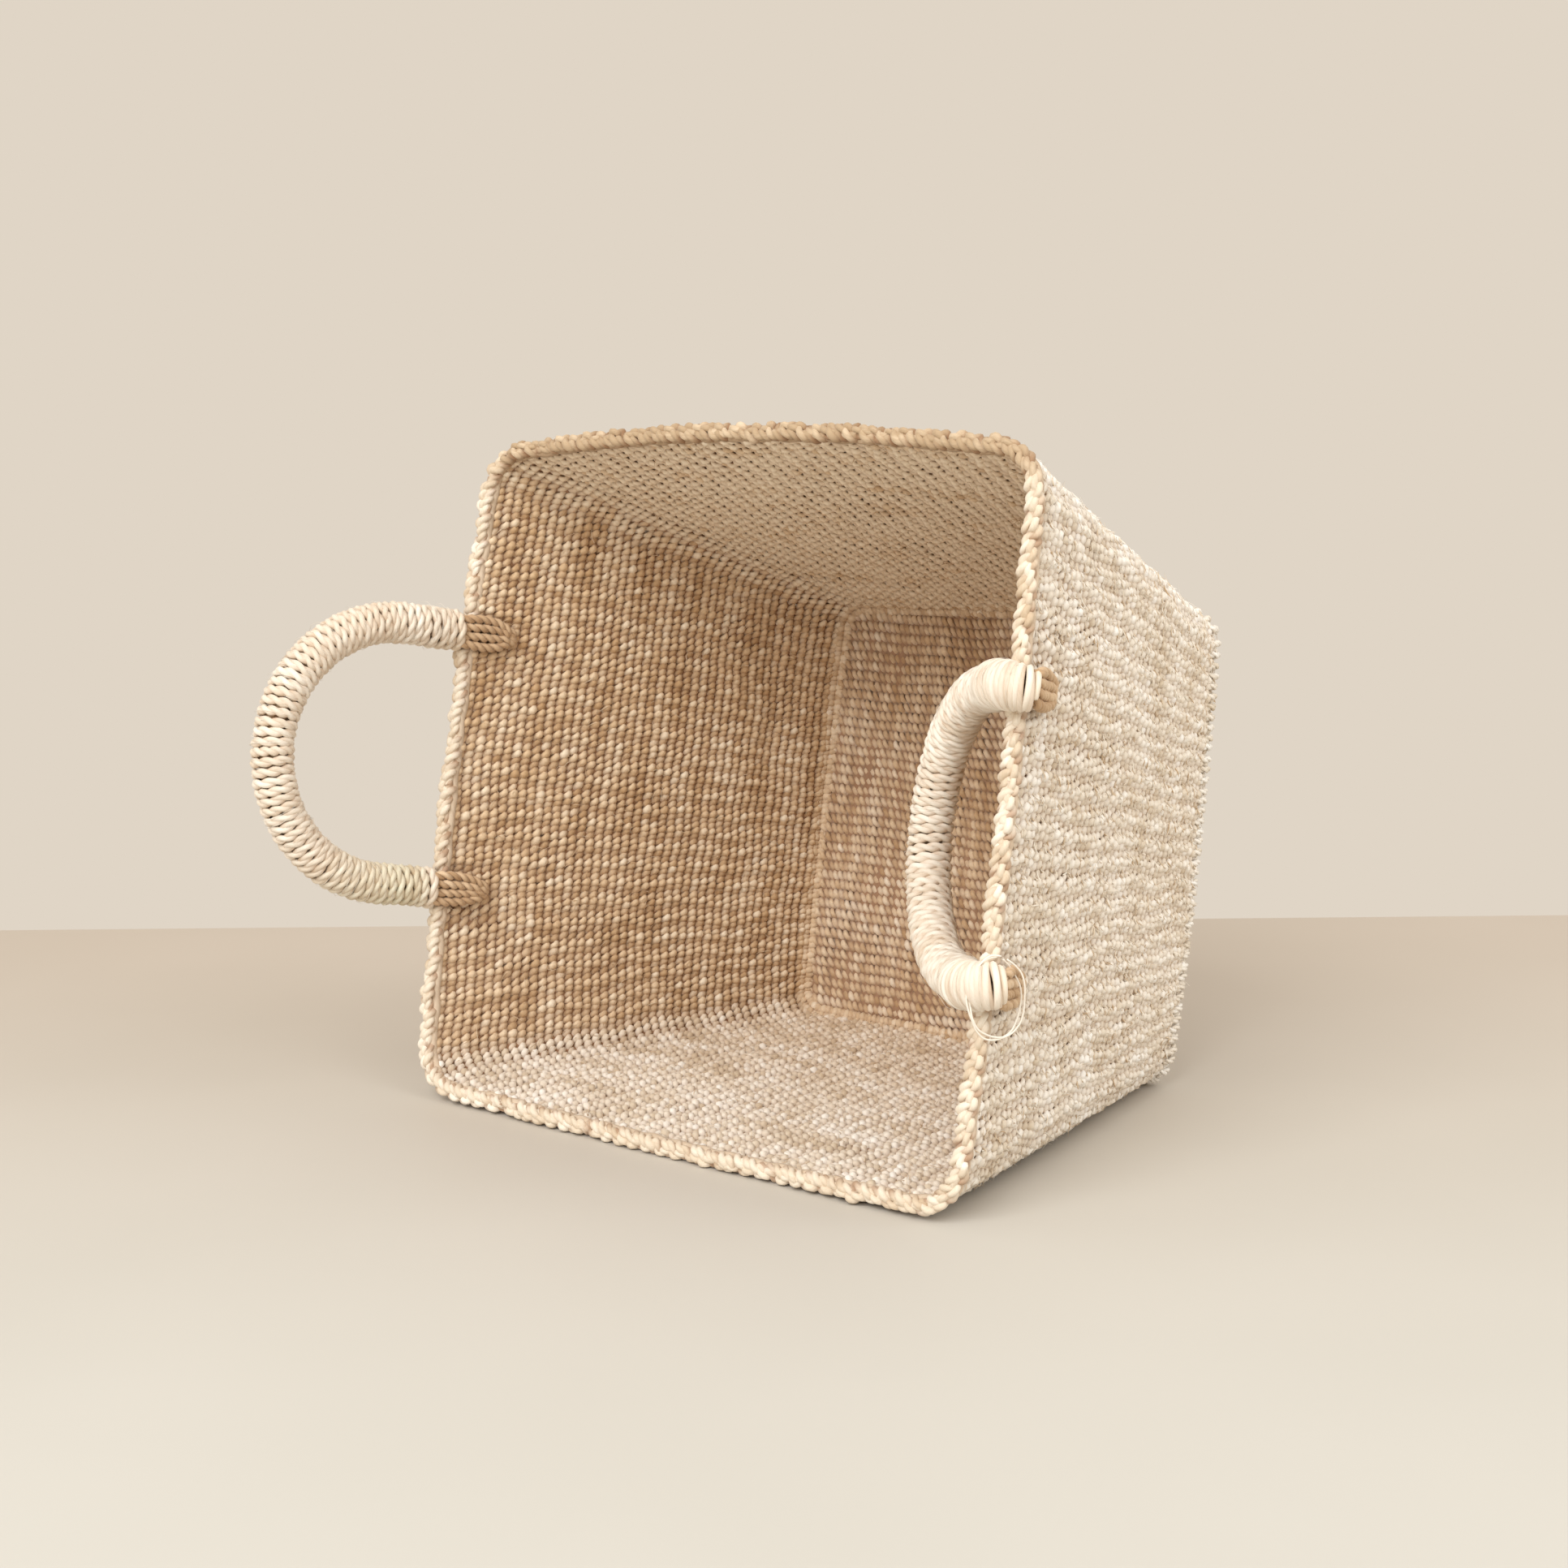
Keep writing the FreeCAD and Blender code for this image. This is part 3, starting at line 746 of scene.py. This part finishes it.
# a slack filament of the wrapping twine, standing off the right handle's lower leg
B = Build()
ctr = RIGHT.at(7.0, 5.0, -59.0)
e1 = unit(RIGHT.vec(0, 0, 1))
e2 = unit(np.cross(RIGHT.vec(0.44, 0.9, 0), e1))
if e2 @ RIGHT.vec(0, 1, 0) < 0:
    e2 = -e2
lift = unit(np.cross(e1, e2))
for k, (grow, off) in enumerate(((1.0, 0.0), (0.94, 0.9))):
    pts = []
    for a in np.linspace(0.0, 1.93 * math.pi, 20):
        rr = 1 + 0.05 * math.sin(2 * a + 0.7) + 0.03 * math.sin(5 * a + 2 * k)
        pts.append(ctr + e1 * 15.0 * grow * rr * math.cos(a) - e2 * 13.2 * grow * rr * math.sin(a) + lift * (off + 1.5 * math.sin(a + k)))
    C, _ = smooth(pts, 110)
    Tq, Nq, Mq = frames(C)
    look = np.tile([0.85, 0.0, 1.0], (len(C), 1))
    B.tubes(C, Nq, Mq, 0.36, 0.36, sides=6, look=look)
filament = B.mesh("slack_filament")

# =============================================================================================
# 7. Stray fibres over the cloth
# =============================================================================================
r = np.random.default_rng(99)


def fibre_set(name, count, outside, length, lift, width, angle, spread, tone):
    B = Build()
    n = 5
    th0 = r.uniform(0, N_WARP, count)
    w0 = r.uniform(2, DEPTH - 4, count)
    ang = np.radians(angle + r.normal(0, spread, count))
    ln = length * np.exp(r.normal(0, 0.35, count))
    t = np.linspace(-0.5, 0.5, n)[None]
    bend = r.normal(0, 0.22, count)[:, None]
    a = ang[:, None] + bend * t * 2
    dw = np.cumsum(np.sin(a), 1) * (ln / n)[:, None]
    dt = np.cumsum(np.cos(a), 1) * (ln / n)[:, None]
    scale = RIM_LENGTH / N_WARP * (1 - 0.26 * w0 / DEPTH)
    th = th0[:, None] + dt / scale[:, None]
    w = np.clip(w0[:, None] + dw, 0.5, DEPTH + 0.5)
    c, T, D, N = cloth(th, w)
    curl = lift * (0.35 + np.abs(r.normal(0, 1, count)))[:, None] * (2 * t) ** 2
    off = 1.60 + 1.4 * rib_of(th, w) + 0.2 * r.normal(0, 1, count)[:, None] + curl
    off = off if outside else -off
    C = c + N * off[..., None]
    wd = np.broadcast_to(width * np.exp(r.normal(0, 0.3, count))[:, None] * (1 - 0.75 * (2 * t) ** 2), (count, n))
    look = np.zeros((count, n, 3))
    look[..., 0] = np.clip(tone + r.normal(0, 0.34, count), 0, 1)[:, None]
    look[..., 2] = 1.0 if outside else 0.0
    along_dir = unit(np.gradient(C, axis=1))
    E2 = unit(np.cross(along_dir, N))
    B.tubes(C, N, E2, wd * 0.8, wd, sides=3, look=look, cap=False)
    return B.mesh(name)


# strokes of fibre laid over the outer face, along the slant of its stitches
fuzz = [
    fibre_set("fibre_strokes_a", 7500, True, 5.0, 0.35, 0.26, 132.0, 18.0, 0.62),
    fibre_set("fibre_strokes_b", 7500, True, 5.0, 0.35, 0.26, 132.0, 18.0, 0.62),
    fibre_set("stray_fibres_outside", 2200, True, 9.0, 1.6, 0.12, 130.0, 40.0, 0.6),
    fibre_set("stray_fibres_inside", 2600, False, 6.0, 1.1, 0.12, 130.0, 45.0, 0.6),
]

# =============================================================================================
# Materials
# =============================================================================================
def lin(r, g, b):
    f = lambda c: ((c / 255 + 0.055) / 1.055) ** 2.4 if c > 10 else c / 255 / 12.92
    return (f(r), f(g), f(b), 1.0)


def plant_fibre(name, inner, outer, gap_shade, streak=0.5, sheen=0.25, rough=0.72, bump=0.5, green=None):
    """Plant fibre yarn. inner and outer: dark, middle and light colour of the two faces."""
    mat = bpy.data.materials.new(name)
    mat.use_nodes = True
    nt = mat.node_tree
    nt.nodes.clear()
    N, Lk = nt.nodes.new, nt.links.new
    out = N("ShaderNodeOutputMaterial")
    bsdf = N("ShaderNodeBsdfPrincipled")
    Lk(bsdf.outputs[0], out.inputs["Surface"])
    yarn = N("ShaderNodeAttribute"); yarn.attribute_name = "yarn"
    look = N("ShaderNodeAttribute"); look.attribute_name = "look"
    sep = N("ShaderNodeSeparateXYZ")
    Lk(look.outputs["Vector"], sep.inputs[0])
    mp = N("ShaderNodeMapping")
    mp.inputs["Scale"].default_value = (0.16, 2.1, 2.1)
    Lk(yarn.outputs["Vector"], mp.inputs["Vector"])
    n1 = N("ShaderNodeTexNoise")
    n1.inputs["Scale"].default_value = 1.6
    n1.inputs["Detail"].default_value = 4.0
    n1.inputs["Roughness"].default_value = 0.62
    Lk(mp.outputs[0], n1.inputs["Vector"])
    mp2 = N("ShaderNodeMapping")
    mp2.inputs["Scale"].default_value = (0.05, 0.45, 0.45)
    Lk(yarn.outputs["Vector"], mp2.inputs["Vector"])
    n2 = N("ShaderNodeTexNoise")
    n2.inputs["Scale"].default_value = 1.3
    n2.inputs["Detail"].default_value = 2.0
    Lk(mp2.outputs[0], n2.inputs["Vector"])
    # tone + streaks
    m1 = N("ShaderNodeMath"); m1.operation = "MULTIPLY_ADD"
    Lk(n1.outputs["Fac"], m1.inputs[0]); m1.inputs[1].default_value = streak
    Lk(sep.outputs["X"], m1.inputs[2])
    m2 = N("ShaderNodeMath"); m2.operation = "MULTIPLY_ADD"
    Lk(n2.outputs["Fac"], m2.inputs[0]); m2.inputs[1].default_value = 0.5
    Lk(m1.outputs[0], m2.inputs[2])
    m3 = N("ShaderNodeMath"); m3.operation = "SUBTRACT"
    Lk(m2.outputs[0], m3.inputs[0]); m3.inputs[1].default_value = 0.25 + streak * 0.5

    def ramp(cols):
        rp = N("ShaderNodeValToRGB")
        e = rp.color_ramp.elements
        e[0].position, e[0].color = 0.08, lin(*cols[0])
        e[1].position, e[1].color = 0.92, lin(*cols[2])
        mid = e.new(0.5); mid.color = lin(*cols[1])
        Lk(m3.outputs[0], rp.inputs["Fac"])
        return rp

    ri, ro = ramp(inner), ramp(outer)
    mix = N("ShaderNodeMix"); mix.data_type = "RGBA"; mix.clamp_factor = True
    Lk(sep.outputs["Z"], mix.inputs[0])
    Lk(ri.outputs["Color"], mix.inputs[6]); Lk(ro.outputs["Color"], mix.inputs[7])
    colour = mix.outputs[2]
    if green is not None:
        g0 = N("ShaderNodeMath"); g0.operation = "SUBTRACT"; g0.use_clamp = True
        Lk(sep.outputs["Z"], g0.inputs[0]); g0.inputs[1].default_value = 1.0
        mg = N("ShaderNodeMix"); mg.data_type = "RGBA"; mg.blend_type = "MULTIPLY"
        Lk(g0.outputs[0], mg.inputs[0]); Lk(colour, mg.inputs[6]); mg.inputs[7].default_value = lin(*green)
        colour = mg.outputs[2]
    # painted shade: the colour is multiplied towards the gap colour by the second channel of look
    dark = N("ShaderNodeMix"); dark.data_type = "RGBA"; dark.blend_type = "MULTIPLY"
    dm = N("ShaderNodeMath"); dm.operation = "MULTIPLY"
    Lk(sep.outputs["Y"], dm.inputs[0]); dm.inputs[1].default_value = 0.85
    Lk(dm.outputs[0], dark.inputs[0]); Lk(colour, dark.inputs[6]); dark.inputs[7].default_value = lin(*gap_shade)
    Lk(dark.outputs[2], bsdf.inputs["Base Color"])
    rr = N("ShaderNodeMapRange")
    rr.inputs["To Min"].default_value = rough - 0.12
    rr.inputs["To Max"].default_value = rough + 0.14
    Lk(n1.outputs["Fac"], rr.inputs["Value"]); Lk(rr.outputs[0], bsdf.inputs["Roughness"])
    bp = N("ShaderNodeBump")
    bp.inputs["Strength"].default_value = bump
    bp.inputs["Distance"].default_value = 0.00035
    Lk(n1.outputs["Fac"], bp.inputs["Height"]); Lk(bp.outputs[0], bsdf.inputs["Normal"])
    bsdf.inputs["Specular IOR Level"].default_value = 0.28
    bsdf.inputs["Sheen Weight"].default_value = sheen
    bsdf.inputs["Sheen Roughness"].default_value = 0.45
    bsdf.inputs["Sheen Tint"].default_value = (1.0, 0.93, 0.82, 1.0)
    return mat


# painted shade: the inner palettes are darker and more tan than the outer one, standing in for the shade and warm
# bounced light inside the basket; the base's inside palette is a little paler than the walls'
INNER = ((200, 164, 122), (229, 200, 163), (246, 228, 202))
BASE_IN = ((204, 170, 130), (233, 208, 175), (249, 234, 212))
OUTER = ((220, 204, 181), (243, 234, 221), (254, 251, 246))
weave_mat = plant_fibre("sisal_weave", INNER, OUTER, (150, 104, 66))
base_mat = plant_fibre("sisal_base", BASE_IN, OUTER, (150, 104, 66))
rim_mat = plant_fibre("sisal_rim", ((176, 148, 114), (214, 188, 154), (242, 224, 198)), ((214, 192, 164), (237, 224, 205), (250, 244, 233)), (170, 124, 84))
twine_mat = plant_fibre("sisal_twine", ((204, 176, 144), (224, 205, 180), (244, 230, 210)), ((206, 182, 154), (231, 217, 198), (249, 242, 230)),
                        (196, 156, 116), streak=0.4, sheen=0.3, green=(232, 243, 222))
cord_mat = plant_fibre("sisal_cord", ((176, 138, 100), (214, 180, 142), (240, 216, 186)), ((190, 156, 120), (226, 200, 168), (246, 228, 204)), (150, 104, 66))
fuzz_mat = plant_fibre("sisal_fuzz", INNER, ((206, 176, 140), (240, 222, 198), (255, 248, 236)), (160, 120, 84), sheen=0.2, bump=0.2)

for ob in bands:
    ob.data.materials.append(weave_mat)
warps.data.materials.append(weave_mat)
for ob in base_pieces:
    ob.data.materials.append(base_mat)
lacing_in.data.materials.append(base_mat)
lacing_out.data.materials.append(base_mat)
rim.data.materials.append(rim_mat)
for ob in (wrap_l, wrap_r, filament):
    ob.data.materials.append(twine_mat)
for ob in (core_l, core_r, *tethers.values()):
    ob.data.materials.append(cord_mat)
for ob in fuzz:
    ob.data.materials.append(fuzz_mat)

# =============================================================================================
# Riding and replacing
# =============================================================================================
for ob in bands + [warps]:
    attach(ob, "root")
    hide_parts("woven_wall")
for ob in base_pieces:
    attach(ob, "root"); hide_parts("base_panel")
for ob in (lacing_in, lacing_out):
    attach(ob, "root"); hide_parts("base_seam")
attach(rim, "root"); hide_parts("rim_edging")
for ob in fuzz:
    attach(ob, "root")
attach(filament, "root")
for (name, place), ob in tethers.items():
    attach(ob, "root"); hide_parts("%s_tether_%s" % (name, place))

m = lambda p: tuple(float(x) / 1000.0 for x in p)
for ob, name in ((wrap_l, "left"), (core_l, "left")):
    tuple(m(LEFT.at(0.5, PIVOT_N, 0)))
    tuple(m(LEFT.at(22.0, PIVOT_N, 0)))
    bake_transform(ob)
for ob, name in ((wrap_r, "right"), (core_r, "right")):
    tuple(m(RIGHT.at(7.0, 8.0, 0)))
    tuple(m(RIGHT.at(-7.0, -15.0, 0)))
    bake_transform(ob)
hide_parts("left_handle_wrap", "left_leg_wrap_upper", "left_leg_wrap_lower")
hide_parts("right_handle_wrap", "right_leg_wrap_upper", "right_leg_wrap_lower")
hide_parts("left_handle_core")
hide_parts("right_handle_core")

# =============================================================================================
# Camera, floor, light
# =============================================================================================
cam_data = bpy.data.cameras.new("camera")
cam = bpy.data.objects.new("camera", cam_data)
bpy.context.scene.collection.objects.link(cam)
bpy.context.scene.camera = cam
yaw, pitch, roll = math.radians(-40.124), math.radians(8.035), math.radians(-0.554)
fwd = np.array([math.sin(yaw) * math.cos(pitch), math.cos(yaw) * math.cos(pitch), -math.sin(pitch)])
right = np.array([math.cos(yaw), -math.sin(yaw), 0.0])
up = np.cross(right, fwd)
r2 = math.cos(roll) * right + math.sin(roll) * up
u2 = -math.sin(roll) * right + math.cos(roll) * up
cam.matrix_world = Matrix(
    ((r2[0], u2[0], -fwd[0], 0.65427), (r2[1], u2[1], -fwd[1], -0.78314), (r2[2], u2[2], -fwd[2], 0.28698), (0, 0, 0, 1))
)
cam_data.sensor_width = 36.0
cam_data.lens = 54.397
cam_data.clip_start, cam_data.clip_end = 0.02, 50.0

# pale floor, ending a little behind the basket; the paler backdrop is the world beyond it
floor_dir = unit(np.array([fwd[0], fwd[1], 0.0]))
sidev = np.array([floor_dir[1], -floor_dir[0], 0.0])
eye = np.array([0.65427, -0.78314, 0.0])
back = eye + floor_dir * 1.425
corners = [back - sidev * 6, back + sidev * 6, back + sidev * 6 - floor_dir * 9, back - sidev * 6 - floor_dir * 9]
me = bpy.data.meshes.new("floor")
me.from_pydata([tuple(p) for p in corners], [], [(3, 2, 1, 0)])
floor = bpy.data.objects.new("floor", me)
bpy.context.scene.collection.objects.link(floor)
fm = bpy.data.materials.new("pale_floor")
fm.use_nodes = True
nt = fm.node_tree
bs = nt.nodes["Principled BSDF"]
co = nt.nodes.new("ShaderNodeTexCoord")
mp = nt.nodes.new("ShaderNodeMapping")
mp.inputs["Scale"].default_value = (1.0, 1.0, 1.0)
nz = nt.nodes.new("ShaderNodeTexNoise")
nz.inputs["Scale"].default_value = 2.5
nz.inputs["Detail"].default_value = 3.0
rp = nt.nodes.new("ShaderNodeValToRGB")
rp.color_ramp.elements[0].position, rp.color_ramp.elements[0].color = 0.3, lin(199, 196, 188)
rp.color_ramp.elements[1].position, rp.color_ramp.elements[1].color = 0.75, lin(206, 203, 196)
sep = nt.nodes.new("ShaderNodeVectorMath"); sep.operation = "DOT_PRODUCT"
sep.inputs[1].default_value = tuple(float(a) for a in floor_dir)
nt.links.new(co.outputs["Object"], sep.inputs[0])
# painted shade: the floor is tinted warmer and darker towards the back, past the basket
far = nt.nodes.new("ShaderNodeMapRange"); far.interpolation_type = "SMOOTHSTEP"
far.inputs["From Min"].default_value, far.inputs["From Max"].default_value = -0.45, 0.45
nt.links.new(sep.outputs["Value"], far.inputs["Value"])
painted_light_tint = nt.nodes.new("ShaderNodeMix"); painted_light_tint.data_type = "RGBA"; painted_light_tint.blend_type = "MULTIPLY"
painted_light_tint.inputs[7].default_value = lin(255, 244, 236)
nt.links.new(far.outputs["Result"], painted_light_tint.inputs[0])
nt.links.new(co.outputs["Object"], mp.inputs[0])
nt.links.new(mp.outputs[0], nz.inputs["Vector"])
nt.links.new(nz.outputs["Fac"], rp.inputs["Fac"])
nt.links.new(rp.outputs["Color"], painted_light_tint.inputs[6])
nt.links.new(painted_light_tint.outputs[2], bs.inputs["Base Color"])
bs.inputs["Roughness"].default_value = 0.55
bs.inputs["Specular IOR Level"].default_value = 0.25
me.materials.append(fm)

world = bpy.data.worlds.new("studio")
bpy.context.scene.world = world
world.use_nodes = True
bg = world.node_tree.nodes["Background"]
bg.inputs["Color"].default_value = lin(224, 213, 198)
bg.inputs["Strength"].default_value = 1.0


def area(name, at, target, size, power, colour):
    d = bpy.data.lights.new(name, "AREA")
    d.shape = "DISK"
    d.size = size
    d.energy = power
    d.color = colour
    o = bpy.data.objects.new(name, d)
    bpy.context.scene.collection.objects.link(o)
    z = unit(np.asarray(at, float) - np.asarray(target, float))
    x = unit(np.cross([0, 0, 1.0], z))
    y = np.cross(z, x)
    o.matrix_world = Matrix(((x[0], y[0], z[0], at[0]), (x[1], y[1], z[1], at[1]), (x[2], y[2], z[2], at[2]), (0, 0, 0, 1)))
    return o


mid = np.array([0.0, 0.0, 0.14])
right_dir, front_dir = r2, -floor_dir
area("key", mid + front_dir * 1.70 - right_dir * 0.95 + np.array([0, 0, 1.42]), mid, 1.9, 45.0, (0.95, 0.98, 1.0))
area("fill", mid + front_dir * 1.0 + right_dir * 1.6 + np.array([0, 0, 1.3]), mid, 2.2, 20.0, (0.93, 0.97, 1.0))

bpy.context.scene.view_settings.view_transform = "Standard"
